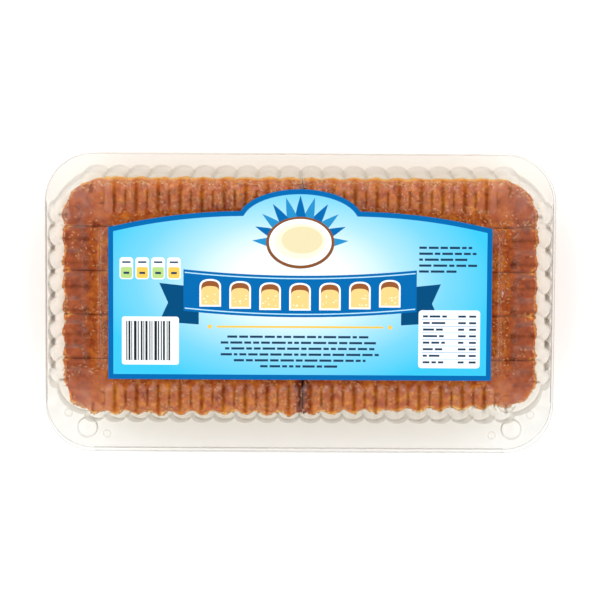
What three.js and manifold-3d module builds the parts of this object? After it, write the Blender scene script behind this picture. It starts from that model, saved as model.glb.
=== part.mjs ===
// A shut clear plastic pack that holds a sliced sponge cake, with a printed paper label on top.
// Millimetres. +Z is up, +X runs along the pack, and the wide front lip is at -Y.
// The origin is at the middle of the pack's footprint, on the surface that it stands on.

import * as THREE from 'three';
import { mergeVertices } from 'three/addons/utils/BufferGeometryUtils.js';
import Module from 'manifold-3d';

const wasm = await Module();
wasm.setup();

// The plastic sheet, and the gap that touching pieces keep
const SHEET = 0.6;
const FIT_GAP = 0.3;

// The flange: the flat rim where the tray and the lid meet
const PACK_LENGTH = 238;
const PACK_DEPTH = 140;
const FLANGE_CORNER = 22.5;
const FLANGE_HEIGHT = 19;
const LID_SHORT_AT_FRONT = 1.5;
const LID_SHORT_AT_RIGHT = 0.7;

// How far the flange stands out past the fluted walls
const SIDE_LIP = 1.4;
const BACK_LIP = 5.2;
const FRONT_LIP = 15.4;

// The fluted walls, as they meet the flange
const BODY_HALF_LENGTH = PACK_LENGTH / 2 - SIDE_LIP;
const BODY_HALF_DEPTH = (PACK_DEPTH - BACK_LIP - FRONT_LIP) / 2;
const BODY_Y = (FRONT_LIP - BACK_LIP) / 2;
const BACK_CORNER = 19;
const FRONT_CORNER = 24;
const WALL_LEAN = Math.tan(THREE.MathUtils.degToRad(5));

// The flutes: half-round ribs that run up the walls and end as fingers on the lid's top
const FLUTE_DEPTH = 2.8;
const LONG_SIDE_PITCH = 9.95;
const LONG_SIDE_FLUTES = 18;
const SHORT_SIDE_PITCH = 10.9;
const SHORT_SIDE_FLUTES = 6;
const END_FLUTE_PITCH = 10.4;
const END_FLUTE_LAND = 0.6;
const FINGER_REACH = 22.2;
const END_FINGER_REACH = 13;
const FINGER_TIP = 4;
const BACK_CORNER_RISE = -0.55;
const FRONT_CORNER_RISE = 0.4;
const CORNER_STEPS = 5;

// Levels of the lid's top: the land between the fingers, their crests and the label's panel
const LAND_HEIGHT = 49.6;
const CREST_HEIGHT = 51.3;
const PANEL_HEIGHT = 51.6;
const SHOULDER_RADIUS = 5;
const PANEL_HALF_LENGTH = 91.6;
const PANEL_HALF_DEPTH = 34.5;
const PANEL_CORNER = 7;
const PANEL_DRAFT = 0.8;

// The tray's floor
const FLOOR_INSET = 5.2;
const FLOOR_EDGE = 0.8;
const FLOOR_RADIUS = 3;

// Snap buttons and small pips at the front corners
const BUTTON_X = 99.5;
const BUTTON_Y = -58.5;
const BUTTON_RADIUS = 5;
const BUTTON_RISE = 2.4;
const BUTTON_DRAFT = 0.5;
const BUTTON_SIDES = 24;
const PIP_RADIUS = 2;
const PIP_RISE = 0.8;
const PIP_PLACES = [[108.4, -51.8], [90.4, -61.6]];

// The cake: two loaves side by side, each cut across into five slices
const CAKE_HALF_LENGTH = 108.5;
const CAKE_HALF_DEPTH = 53;
const LOAF_GAP = 0.8;
const LOAF_GAP_X = 1.2;
const CAKE_BOTTOM = SHEET + FIT_GAP;
const CAKE_EDGE_HEIGHT = 45.9;
const CAKE_CROWN = 1;
const CROWN_RUN = 20;
const CROWN_FLAT = 10;
const SWELL_HEIGHT = 0.35;
const SWELL_LENGTH_X = 8.5;
const SWELL_LENGTH_Y = 6.3;
const CAKE_SHOULDER = 5;
const CAKE_FOOT = 1.5;
const CAKE_BACK_CORNER = 16;
const LOAF_INNER_CORNER = 3;
const CUT_WIDTH = 0.4;
const SLICE_DEPTHS = [25, 20.2, 20.2, 20.2, 20.4];

// Where the two loaves differ: the round of the outer front corner, and how far the front
// edge runs back on the way out to it
const LOAVES = [
  { name: 'left', side: -1, frontCorner: 16, frontSlant: 0 },
  { name: 'right', side: 1, frontCorner: 12, frontSlant: 4.3 },
];

// The label: a flat sheet with an arched back edge
const LABEL_SHEET = 0.2;
const LABEL_HALF_LENGTH = 87.2;
const LABEL_FRONT = -36.7;
const LABEL_BACK_CORNER = 32.6;
const LABEL_SHOULDER = [58, 39.8];
const ARCH_HALF_LENGTH = 28.4;
const ARCH_RISE = 14.3;
const ARCH_BASE = 36;
const ARCH_START = THREE.MathUtils.degToRad(17.4);

const CLEAR_PLASTIC = { color: '#eef0ee', roughness: 0.08, metalness: 0, transparent: true, opacity: 0.3 };
const BROWN_CRUST = { color: '#a9653b', roughness: 0.85, metalness: 0 };
const LABEL_BLUE = { color: '#6cc6ea', roughness: 0.35, metalness: 0 };

// A closed surface through loops of equally many points, capped at the first and last loop.
// Loops run anticlockwise seen from above, and the first cap faces down.
function loft(loops) {
  const count = loops[0].length;
  const positions = loops.flat().flatMap((point) => [point.x, point.y, point.z]);
  const triangles = [];
  for (let row = 0; row + 1 < loops.length; row++) {
    for (let k = 0; k < count; k++) {
      const here = row * count + k;
      const next = row * count + ((k + 1) % count);
      triangles.push(here, next, next + count, here, next + count, here + count);
    }
  }
  const firstOfLast = (loops.length - 1) * count;
  for (const [a, b, c] of capTriangles(loops[0])) {
    triangles.push(a, c, b);
  }
  for (const [a, b, c] of capTriangles(loops[loops.length - 1])) {
    triangles.push(firstOfLast + a, firstOfLast + b, firstOfLast + c);
  }
  const geometry = new THREE.BufferGeometry();
  geometry.setAttribute('position', new THREE.Float32BufferAttribute(positions, 3));
  geometry.setIndex(triangles);
  return geometry;
}

// Triangles that fill a flat loop, anticlockwise seen from above.
function capTriangles(loop) {
  const flat = loop.map((point) => new THREE.Vector2(point.x, point.y));
  return THREE.ShapeUtils.triangulateShape(flat, []).map(([a, b, c]) => {
    const area = THREE.ShapeUtils.area([flat[a], flat[b], flat[c]]);
    return area > 0 ? [a, b, c] : [a, c, b];
  });
}

function solidFrom(geometry) {
  const bare = geometry.clone();
  bare.deleteAttribute('normal');
  bare.deleteAttribute('uv');
  const merged = mergeVertices(bare);
  return new wasm.Manifold(new wasm.Mesh({
    numProp: 3,
    vertProperties: Float32Array.from(merged.getAttribute('position').array),
    triVerts: Uint32Array.from(merged.getIndex().array),
  }));
}

function geometryFrom(solid) {
  const mesh = solid.getMesh();
  const geometry = new THREE.BufferGeometry();
  geometry.setAttribute('position', new THREE.BufferAttribute(mesh.vertProperties, 3));
  geometry.setIndex(new THREE.BufferAttribute(mesh.triVerts, 1));
  geometry.computeVertexNormals();
  return geometry;
}

function addPiece(group, name, geometry, look) {
  const mesh = new THREE.Mesh(geometry, new THREE.MeshStandardMaterial(look));
  mesh.name = name;
  group.add(mesh);
}

// The walls' outline at the flange, walked anticlockwise from the middle of the +X side.
function bodyOutline() {
  const backX = BODY_HALF_LENGTH - BACK_CORNER;
  const backY = BODY_HALF_DEPTH - BACK_CORNER;
  const frontX = BODY_HALF_LENGTH - FRONT_CORNER;
  const frontY = BODY_HALF_DEPTH - FRONT_CORNER;
  const quarter = Math.PI / 2;
  const path = new THREE.Path();
  path.moveTo(BODY_HALF_LENGTH, 0);
  path.lineTo(BODY_HALF_LENGTH, backY);
  path.absarc(backX, backY, BACK_CORNER, 0, quarter);
  path.lineTo(-backX, BODY_HALF_DEPTH);
  path.absarc(-backX, backY, BACK_CORNER, quarter, 2 * quarter);
  path.lineTo(-BODY_HALF_LENGTH, -frontY);
  path.absarc(-frontX, -frontY, FRONT_CORNER, 2 * quarter, 3 * quarter);
  path.lineTo(frontX, -BODY_HALF_DEPTH);
  path.absarc(frontX, -frontY, FRONT_CORNER, 3 * quarter, 4 * quarter);
  path.lineTo(BODY_HALF_LENGTH, 0);
  return path;
}

// Where the flutes lie along one side: an end flute, the long-fingered ones and an end flute.
function sideFlutes(pitch, count) {
  const endFlute = { pitch: END_FLUTE_PITCH, reach: END_FINGER_REACH };
  const fullFlutes = Array.from({ length: count }, () => ({ pitch, reach: FINGER_REACH }));
  return [endFlute, ...fullFlutes, endFlute];
}

// Stations round the walls. Each has its place and outward normal, how far its flute rises
// on the wall and on the top (0 in a groove, 1 on a crest), and how far its finger reaches in.
// The plain corners bow: the back ones inwards, almost to a straight slant, and the front ones outwards.
function wallStations(stepsPerFlute) {
  const outline = bodyOutline();
  const total = outline.getLength();
  const backMiddle = BODY_HALF_DEPTH + BODY_HALF_LENGTH - 2 * BACK_CORNER + BACK_CORNER * Math.PI / 2;
  const frontMiddle = BODY_HALF_DEPTH + BODY_HALF_LENGTH - 2 * FRONT_CORNER + FRONT_CORNER * Math.PI / 2;
  const sides = [
    { middle: 0, pitch: SHORT_SIDE_PITCH, count: SHORT_SIDE_FLUTES, cornerRise: BACK_CORNER_RISE },
    { middle: backMiddle, pitch: LONG_SIDE_PITCH, count: LONG_SIDE_FLUTES, cornerRise: BACK_CORNER_RISE },
    { middle: 2 * backMiddle, pitch: SHORT_SIDE_PITCH, count: SHORT_SIDE_FLUTES, cornerRise: FRONT_CORNER_RISE },
    { middle: total - frontMiddle, pitch: LONG_SIDE_PITCH, count: LONG_SIDE_FLUTES, cornerRise: FRONT_CORNER_RISE },
  ].map((side) => ({ ...side, half: side.pitch * side.count / 2 + END_FLUTE_LAND + END_FLUTE_PITCH }));

  const stations = [];
  const addStation = (along, wallRise, topRise, reach) => {
    const share = THREE.MathUtils.euclideanModulo(along, total) / total;
    const place = outline.getPoint(share);
    const tangent = outline.getTangent(share);
    stations.push({ place, normal: new THREE.Vector2(tangent.y, -tangent.x), wallRise, topRise, reach });
  };

  sides.forEach((side, index) => {
    const flutes = sideFlutes(side.pitch, side.count);
    let along = side.middle - side.half;
    flutes.forEach((flute, place) => {
      for (let step = 0; step < stepsPerFlute; step++) {
        const across = (2 * step) / stepsPerFlute - 1;
        const rise = Math.sqrt(1 - across * across);
        addStation(along + flute.pitch * step / stepsPerFlute, rise, rise, flute.reach);
      }
      along += flute.pitch;
      if (flutes[place + 1]?.reach !== flute.reach) {
        addStation(along, 0, 0, flute.reach);
        along += END_FLUTE_LAND;
      }
    });
    const nextSide = sides[(index + 1) % sides.length];
    const turn = index + 1 < sides.length ? 0 : total;
    const cornerStart = side.middle + side.half;
    const cornerEnd = nextSide.middle - nextSide.half + turn;
    for (let step = 1; step <= CORNER_STEPS; step++) {
      const share = step / (CORNER_STEPS + 1);
      const rise = side.cornerRise * (1 - (2 * share - 1) ** 2);
      addStation(THREE.MathUtils.lerp(cornerStart, cornerEnd, share), rise, 0, END_FINGER_REACH);
    }
  });
  return stations;
}

// A loop at a given inset from the walls' outline, one point for each station.
function wallLoop(stations, insetAt, heightAt) {
  return stations.map((station) => {
    const inset = insetAt(station);
    return new THREE.Vector3(
      station.place.x - station.normal.x * inset,
      station.place.y - station.normal.y * inset + BODY_Y,
      heightAt(station),
    );
  });
}

// Signed distance from a point to a rounded rectangle, negative inside.
function roundedRectDistance(x, y, rect) {
  const outX = Math.abs(x - rect.x) - rect.halfLength + rect.corner;
  const outY = Math.abs(y - rect.y) - rect.halfDepth + rect.corner;
  return Math.hypot(Math.max(outX, 0), Math.max(outY, 0)) + Math.min(Math.max(outX, outY), 0) - rect.corner;
}

// The flange's edge, met by going straight out from each station of the walls.
const HALVINGS = 40;

function flangeLoop(stations, rect, height) {
  return stations.map((station) => {
    let near = 0;
    let far = FRONT_LIP + FLANGE_CORNER;
    for (let halving = 0; halving < HALVINGS; halving++) {
      const middle = (near + far) / 2;
      const x = station.place.x + station.normal.x * middle;
      const y = station.place.y + station.normal.y * middle + BODY_Y;
      if (roundedRectDistance(x, y, rect) < 0) {
        near = middle;
      } else {
        far = middle;
      }
    }
    return new THREE.Vector3(
      station.place.x + station.normal.x * far,
      station.place.y + station.normal.y * far + BODY_Y,
      height,
    );
  });
}

// Points round a rounded rectangle with its own radius at each corner, anticlockwise from +X +Y.
function roundedRectLoop(rect, radii, stepsPerCorner, height) {
  const signs = [[1, 1], [-1, 1], [-1, -1], [1, -1]];
  return signs.flatMap(([signX, signY], corner) => {
    const radius = radii[corner];
    return Array.from({ length: stepsPerCorner + 1 }, (_, step) => {
      const angle = (corner + step / stepsPerCorner) * Math.PI / 2;
      return new THREE.Vector3(
        rect.x + signX * (rect.halfLength - radius) + radius * Math.cos(angle),
        rect.y + signY * (rect.halfDepth - radius) + radius * Math.sin(angle),
        height,
      );
    });
  });
}

// A round boss with drafted sides that stands on the flange.
function bossSolid(x, y, radius, bottom, top) {
  const height = top - bottom;
  const geometry = new THREE.CylinderGeometry(radius - BUTTON_DRAFT, radius, height, BUTTON_SIDES);
  geometry.rotateX(Math.PI / 2);
  geometry.translate(x, y, (top + bottom) / 2);
  return solidFrom(geometry);
}

// The shallow tray: a flat floor, low fluted walls and the flange, with a stud in each button.
function trayGeometry() {
  const stations = wallStations(3);
  const rect = {
    x: 0, y: 0, halfLength: PACK_LENGTH / 2, halfDepth: PACK_DEPTH / 2, corner: FLANGE_CORNER,
  };
  const under = FLANGE_HEIGHT - SHEET;
  const wallInset = (height) => (station) => (
    FLUTE_DEPTH * (1 - station.wallRise) + WALL_LEAN * (FLANGE_HEIGHT - height)
  );
  const innerInset = (height) => (station) => wallInset(height)(station) + SHEET;
  const floorInset = (station) => Math.max(FLOOR_INSET, wallInset(FLOOR_RADIUS)(station) + FLOOR_EDGE);
  const level = (height) => () => height;
  let tray = solidFrom(loft([
    wallLoop(stations, floorInset, level(0)),
    wallLoop(stations, wallInset(FLOOR_RADIUS), level(FLOOR_RADIUS)),
    wallLoop(stations, wallInset(under), level(under)),
    flangeLoop(stations, rect, under),
    flangeLoop(stations, rect, FLANGE_HEIGHT),
    wallLoop(stations, innerInset(FLANGE_HEIGHT), level(FLANGE_HEIGHT)),
    wallLoop(stations, innerInset(FLOOR_RADIUS), level(FLOOR_RADIUS + SHEET / 2)),
    wallLoop(stations, (station) => floorInset(station) + SHEET / 2, level(SHEET)),
  ]));
  const studRadius = BUTTON_RADIUS - SHEET - FIT_GAP;
  const studTop = FLANGE_HEIGHT + BUTTON_RISE;
  for (const side of [-1, 1]) {
    tray = tray.add(bossSolid(side * BUTTON_X, BUTTON_Y, studRadius, under + SHEET / 2, studTop));
    const hollow = bossSolid(side * BUTTON_X, BUTTON_Y, studRadius - SHEET, under - SHEET, studTop - SHEET);
    tray = tray.subtract(hollow);
  }
  return geometryFrom(tray);
}

// The deep lid: fluted walls that turn over a round shoulder into fingers on the top,
// a raised panel for the label, and a flange with snap buttons at its front corners.
function lidGeometry() {
  const stations = wallStations(4);
  const rect = {
    x: -LID_SHORT_AT_RIGHT / 2,
    y: LID_SHORT_AT_FRONT / 2,
    halfLength: (PACK_LENGTH - LID_SHORT_AT_RIGHT) / 2,
    halfDepth: (PACK_DEPTH - LID_SHORT_AT_FRONT) / 2,
    corner: FLANGE_CORNER,
  };
  const under = FLANGE_HEIGHT + FIT_GAP;
  const foot = under + SHEET;
  const topAt = (rise) => THREE.MathUtils.lerp(LAND_HEIGHT, CREST_HEIGHT, rise);
  const wallInset = (station, height) => FLUTE_DEPTH * (1 - station.wallRise) + WALL_LEAN * (height - foot);
  const shoulderRise = (station) => (station.wallRise + station.topRise) / 2;
  const shoulderStart = (station) => topAt(station.wallRise) - SHOULDER_RADIUS;
  const shoulderInset = (station) => wallInset(station, shoulderStart(station));
  const diagonal = Math.SQRT1_2;

  // One face of the sheet, as far in from the outer face as the given thickness
  const face = (thick, footHeight) => [
    flangeLoop(stations, rect, footHeight),
    wallLoop(stations, (s) => wallInset(s, foot) + thick, () => footHeight),
    wallLoop(stations, (s) => shoulderInset(s) + thick, shoulderStart),
    wallLoop(
      stations,
      (s) => shoulderInset(s) + SHOULDER_RADIUS * (1 - diagonal) + thick * diagonal,
      (s) => topAt(shoulderRise(s)) - SHOULDER_RADIUS * (1 - diagonal) - thick * diagonal,
    ),
    wallLoop(stations, (s) => shoulderInset(s) + SHOULDER_RADIUS, (s) => topAt(s.topRise) - thick),
    wallLoop(stations, (s) => s.reach - FINGER_TIP * shareOfFinger(s), (s) => topAt(s.topRise) - thick),
    wallLoop(stations, (s) => s.reach, () => LAND_HEIGHT - thick),
  ];
  let lid = solidFrom(loft([...face(SHEET, under).reverse(), ...face(0, foot)]));

  const panelLoop = (inset, height) => {
    const panel = {
      x: 0, y: BODY_Y, halfLength: PANEL_HALF_LENGTH - inset, halfDepth: PANEL_HALF_DEPTH - inset,
    };
    return roundedRectLoop(panel, [0, 0, 0, 0].fill(PANEL_CORNER - inset), 5, height);
  };
  const panelStart = LAND_HEIGHT - SHEET / 2;
  lid = lid.add(solidFrom(loft([panelLoop(0, panelStart), panelLoop(PANEL_DRAFT, PANEL_HEIGHT)])));
  lid = lid.subtract(solidFrom(loft([
    panelLoop(SHEET, LAND_HEIGHT - 2 * SHEET),
    panelLoop(SHEET + PANEL_DRAFT, PANEL_HEIGHT - SHEET),
  ])));

  for (const side of [-1, 1]) {
    const top = foot + BUTTON_RISE;
    lid = lid.add(bossSolid(side * BUTTON_X, BUTTON_Y, BUTTON_RADIUS, under + SHEET / 2, top));
    lid = lid.subtract(bossSolid(side * BUTTON_X, BUTTON_Y, BUTTON_RADIUS - SHEET, under - SHEET, top - SHEET));
    for (const [x, y] of PIP_PLACES) {
      lid = lid.add(bossSolid(side * x, y, PIP_RADIUS, under + SHEET / 2, foot + PIP_RISE));
    }
  }
  return geometryFrom(lid);
}

// An end finger is short, so its tip is too.
function shareOfFinger(station) {
  return station.reach / FINGER_REACH;
}

// The top of a loaf: a low crown with shallow swells.
function cakeTop(x, y, inset) {
  const crown = CAKE_CROWN * THREE.MathUtils.clamp((inset - CAKE_SHOULDER) / CROWN_RUN, 0, 1);
  const swell = SWELL_HEIGHT * Math.sin(x / SWELL_LENGTH_X) * Math.cos(y / SWELL_LENGTH_Y);
  return CAKE_EDGE_HEIGHT + crown + swell;
}

// One whole loaf, with a rounded foot, upright sides and a rounded top edge.
function loafSolid({ side, frontCorner, frontSlant }) {
  const innerX = LOAF_GAP_X + side * LOAF_GAP / 2;
  const outerX = side * CAKE_HALF_LENGTH;
  const rightRadii = [CAKE_BACK_CORNER, LOAF_INNER_CORNER, LOAF_INNER_CORNER, frontCorner];
  const leftRadii = [LOAF_INNER_CORNER, CAKE_BACK_CORNER, frontCorner, LOAF_INNER_CORNER];
  const radii = side > 0 ? rightRadii : leftRadii;
  const smallestRadius = 0.5;
  const stepsPerCorner = 5;
  const topLoops = 4;
  const innermost = CAKE_HALF_DEPTH - CROWN_FLAT;
  const loopAt = (inset, height) => {
    const rect = {
      x: (innerX + outerX) / 2,
      y: BODY_Y,
      halfLength: Math.abs(outerX - innerX) / 2 - inset,
      halfDepth: CAKE_HALF_DEPTH - inset,
    };
    const insetRadii = radii.map((radius) => Math.max(radius - inset, smallestRadius));
    const loop = roundedRectLoop(rect, insetRadii, stepsPerCorner, height);
    for (const point of loop) {
      const along = (point.x - innerX) / (outerX - innerX);
      const forward = THREE.MathUtils.clamp((BODY_Y - point.y) / CAKE_HALF_DEPTH, 0, 1);
      point.y += frontSlant * along * forward;
    }
    return loop;
  };
  const topLoop = (inset, drop) => {
    const loop = loopAt(inset, 0);
    loop.forEach((point) => point.setZ(cakeTop(point.x, point.y, inset) - drop));
    return loop;
  };
  const halfTurned = CAKE_SHOULDER * (1 - Math.SQRT1_2);
  const crownLoops = Array.from({ length: topLoops }, (_, step) => (
    topLoop(THREE.MathUtils.lerp(CAKE_SHOULDER, innermost, step / (topLoops - 1)), 0)
  ));
  return solidFrom(loft([
    loopAt(CAKE_FOOT, CAKE_BOTTOM),
    loopAt(0, CAKE_BOTTOM + CAKE_FOOT),
    topLoop(0, CAKE_SHOULDER),
    topLoop(halfTurned, halfTurned),
    ...crownLoops,
  ]));
}

// A tall block as deep as one slice, for cutting it from its loaf.
function sliceBlock(front, back) {
  const geometry = new THREE.BoxGeometry(PACK_LENGTH, back - front, 2 * CAKE_EDGE_HEIGHT);
  geometry.translate(0, (front + back) / 2, CAKE_EDGE_HEIGHT);
  return solidFrom(geometry);
}

// The label's outline: straight front and ends, and a back edge that sweeps up into an arch.
function labelGeometry() {
  const archEnd = ARCH_HALF_LENGTH * Math.cos(ARCH_START);
  const archEndY = ARCH_BASE + ARCH_RISE * Math.sin(ARCH_START);
  const shape = new THREE.Shape();
  shape.moveTo(-LABEL_HALF_LENGTH, LABEL_FRONT);
  shape.lineTo(LABEL_HALF_LENGTH, LABEL_FRONT);
  shape.lineTo(LABEL_HALF_LENGTH, LABEL_BACK_CORNER);
  shape.quadraticCurveTo(...LABEL_SHOULDER, archEnd, archEndY);
  shape.absellipse(0, ARCH_BASE, ARCH_HALF_LENGTH, ARCH_RISE, ARCH_START, Math.PI - ARCH_START);
  shape.quadraticCurveTo(-LABEL_SHOULDER[0], LABEL_SHOULDER[1], -LABEL_HALF_LENGTH, LABEL_BACK_CORNER);
  shape.closePath();
  const geometry = new THREE.ExtrudeGeometry(shape, {
    depth: LABEL_SHEET, bevelEnabled: false, curveSegments: 12,
  });
  geometry.translate(0, BODY_Y, PANEL_HEIGHT + FIT_GAP);
  return geometry;
}

const pack = new THREE.Group();
addPiece(pack, 'tray', trayGeometry(), CLEAR_PLASTIC);
addPiece(pack, 'lid', lidGeometry(), CLEAR_PLASTIC);
addPiece(pack, 'label', labelGeometry(), LABEL_BLUE);

for (const loafShape of LOAVES) {
  const loaf = loafSolid(loafShape);
  let front = BODY_Y - CAKE_HALF_DEPTH;
  SLICE_DEPTHS.forEach((depth, row) => {
    const back = front + depth;
    const isFirst = row === 0;
    const isLast = row === SLICE_DEPTHS.length - 1;
    const cutFront = isFirst ? front - CAKE_FOOT : front + CUT_WIDTH / 2;
    const cutBack = isLast ? back + CAKE_FOOT : back - CUT_WIDTH / 2;
    const slice = loaf.intersect(sliceBlock(cutFront, cutBack));
    addPiece(pack, `slice_${loafShape.name}_${row + 1}`, geometryFrom(slice), BROWN_CRUST);
    front = back;
  });
}

export default pack;
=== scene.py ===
import math
import random

import bmesh
import bpy
import numpy as np
from mathutils import Matrix, Vector, geometry, noise


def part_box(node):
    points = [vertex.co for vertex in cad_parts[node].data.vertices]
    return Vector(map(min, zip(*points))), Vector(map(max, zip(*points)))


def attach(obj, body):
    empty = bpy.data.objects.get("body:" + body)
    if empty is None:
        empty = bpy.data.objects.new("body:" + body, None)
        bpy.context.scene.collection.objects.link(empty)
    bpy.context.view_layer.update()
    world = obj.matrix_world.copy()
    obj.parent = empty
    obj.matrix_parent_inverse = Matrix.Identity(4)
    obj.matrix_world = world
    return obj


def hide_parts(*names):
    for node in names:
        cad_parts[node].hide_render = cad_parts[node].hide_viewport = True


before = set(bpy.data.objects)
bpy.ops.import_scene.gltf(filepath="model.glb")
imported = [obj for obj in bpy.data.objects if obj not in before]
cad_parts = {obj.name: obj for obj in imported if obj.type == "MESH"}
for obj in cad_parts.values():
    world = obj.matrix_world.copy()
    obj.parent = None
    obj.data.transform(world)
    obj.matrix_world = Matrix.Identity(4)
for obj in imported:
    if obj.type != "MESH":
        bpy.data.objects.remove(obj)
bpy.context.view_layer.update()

# The tray: a shallow base, vacuum formed from clear PET sheet about half a millimetre thick. Half-round
# flutes stiffen its low walls. Its flat flange carries the lid's, and a hollow stud near each front
# corner snaps into the lid.

MM = 0.001
SHEET = 0.55 * MM
FLANGE_HALF_LENGTH = 119 * MM
FLANGE_HALF_DEPTH = 70 * MM
FLANGE_CORNER = 22.5 * MM
EDGE_DROOP = 0.4 * MM
TRAY_FLANGE_UNDER = 18.45 * MM
BODY_HALF_LENGTH = 117.6 * MM
BODY_HALF_DEPTH = 59.7 * MM
BODY_Y = 5.1 * MM
BACK_CORNER = 19 * MM
FRONT_CORNER = 24 * MM
ARC_STEPS = 48
WALL_LEAN = math.tan(math.radians(5))
FLUTE_DEPTH = 2.8 * MM
FLUTE_COLUMNS = [0.13, 0.3, 0.5, 0.7, 0.85, 0.94, 0.985, 1.0]
CORNER_COLUMNS = 24
BACK_CORNER_RISE = -0.55
FRONT_CORNER_RISE = 0.4
LONG_SIDE_FLUTES = 18
LONG_SIDE_PITCH = 9.95 * MM
SHORT_SIDE_FLUTES = 6
SHORT_SIDE_PITCH = 10.9 * MM
END_PITCH = 11 * MM
FOOT_FILLET = 0.4 * MM
FLOOR_INSET = 5.2 * MM
FLOOR_EDGE = 0.8 * MM
FLOOR_RADIUS = 3 * MM
SHEET_WAVE = 0.12 * MM
WAVE_LENGTH = 17 * MM
STIFF_RIM = 6 * MM
ON_RIM = 0.001 * MM
SETTLING_STEPS = 400
SHARP_BEND = math.radians(38)
WELD = 0.01 * MM
SEAM = 0.003 * MM
BUTTON_X = 99.5 * MM
BUTTON_Y = -58.5 * MM


def linear(hex_colour):
    """An sRGB hex colour as linear red, green, blue and alpha."""
    shares = [int(hex_colour[place:place + 2], 16) / 255 for place in (1, 3, 5)]
    return (*[s / 12.92 if s <= 0.04045 else ((s + 0.055) / 1.055) ** 2.4 for s in shares], 1.0)


def add_node(tree, kind, links=None, stops=(), **settings):
    """Adds a node, sets it up, and links or sets the inputs that are given by name or number. A kind with
    no prefix is a shader node, and stops are the (place, hex colour) pairs of a colour ramp."""
    node = tree.nodes.new(kind if "Node" in kind else "ShaderNode" + kind)
    for setting, value in settings.items():
        setattr(node, setting, value)
    for socket, value in (links or {}).items():
        for source in value if isinstance(value, list) else [value]:
            if isinstance(source, bpy.types.Node):
                source = source.outputs[0]
            if isinstance(source, bpy.types.NodeSocket):
                tree.links.new(source, node.inputs[socket])
            else:
                node.inputs[socket].default_value = source
    for number, (where, shade) in enumerate(stops):
        elements = node.color_ramp.elements
        stop = elements[number] if number < 2 else elements.new(where)
        stop.position = where
        stop.color = linear(shade)
    return node


def grain(tree, size_mm, detail=1.0):
    """Noise that is fixed to the object, with features about that many millimetres across."""
    place = add_node(tree, "TexCoord").outputs["Object"]
    return add_node(tree, "TexNoise", {
        "Vector": place, "Scale": 1 / (size_mm * MM), "Detail": detail,
    }).outputs["Fac"]


def new_material(name):
    material = bpy.data.materials.new(name)
    material.use_nodes = True
    material.node_tree.nodes.clear()
    return material, material.node_tree


def new_object(name, mesh):
    piece = bpy.data.objects.new(name, mesh)
    bpy.context.scene.collection.objects.link(piece)
    return piece


def new_tree(name, inputs):
    """An empty geometry tree with named inputs, and the sockets that they come in by."""
    tree = bpy.data.node_groups.new(name, "GeometryNodeTree")
    tree.interface.new_socket(name="Geometry", in_out="OUTPUT", socket_type="NodeSocketGeometry")
    for label, kind in inputs.items():
        tree.interface.new_socket(name=label, in_out="INPUT", socket_type=f"NodeSocket{kind}")
    return tree, add_node(tree, "NodeGroupInput").outputs


def apply_tree(piece, *steps):
    """Puts each tree on the piece with its inputs, and gives the plain mesh that comes out."""
    for tree, values in steps:
        modifier = piece.modifiers.new(tree.name, "NODES")
        modifier.node_group = tree
        for socket in tree.interface.items_tree:
            if socket.in_out == "INPUT" and socket.name in values:
                modifier[socket.identifier] = values[socket.name]
    bpy.context.view_layer.update()
    depsgraph = bpy.context.evaluated_depsgraph_get()
    mesh = bpy.data.meshes.new_from_object(piece.evaluated_get(depsgraph))
    piece.modifiers.clear()
    return mesh


def store(mesh, name, values, domain="POINT"):
    """Keeps a number for each point or face, which the material reads by its name."""
    mesh.attributes.new(name, "FLOAT", domain).data.foreach_set("value", values)


def discard(*pieces):
    for piece in pieces:
        bpy.data.objects.remove(piece)


# Clear PET, vacuum formed: it shows what is behind it, with a sharp reflection at each face that is weak
# where it is seen square on and strong where it is seen edge on. Where it is seen edge on, and along the
# folded lines of its flutes, its tint is darkened with painted shade, in place of the light that the real
# sheet sends sideways there.
PET_FACING_SHINE = 0.018
PET_GRAZING_SHINE = 0.5
PET_SHINE_POWER = 5.0
PET_ROUGHNESS = 0.03
PET_VEIL = 0.025


def pet_look(tree, stops):
    """Clear sheet, its tint darkened with painted shade by the stops as it turns away from the eye, and
    further by the crease attribute, which also dulls its shine.
    """
    facing = add_node(tree, "LayerWeight", {"Blend": 0.5}).outputs["Facing"]
    steep = add_node(tree, "Math", {0: facing, 1: PET_SHINE_POWER}, operation="POWER")
    shine = add_node(tree, "Math", {
        0: steep, 1: PET_GRAZING_SHINE - PET_FACING_SHINE, 2: PET_FACING_SHINE,
    }, operation="MULTIPLY_ADD")
    crease = add_node(tree, "Attribute", attribute_name="crease").outputs["Fac"]
    smooth = add_node(tree, "Math", {0: 1.0, 1: crease}, operation="SUBTRACT")
    shine = add_node(tree, "Math", {0: shine, 1: smooth}, operation="MULTIPLY")
    tint = add_node(tree, "ValToRGB", {"Fac": facing}, stops)
    tint = add_node(tree, "Mix", {0: crease, 6: tint, 7: linear("#dedbd7")},
                    data_type="RGBA", blend_type="MULTIPLY").outputs[2]
    through = add_node(tree, "BsdfTransparent", {"Color": tint})
    gloss = add_node(tree, "BsdfGlossy", {"Roughness": PET_ROUGHNESS})
    return add_node(tree, "MixShader", {"Fac": shine, 1: through, 2: gloss})


clear_pet, tree = new_material("clear_pet_vacuum_formed")
sheet_look = pet_look(tree, ((0.0, "#fcfcfb"), (0.8, "#fbfbfa"), (0.95, "#f8f6f4"), (0.965, "#f3f0ec"),
                             (0.98, "#dedad5"), (1.0, "#8d8780")))
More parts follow.
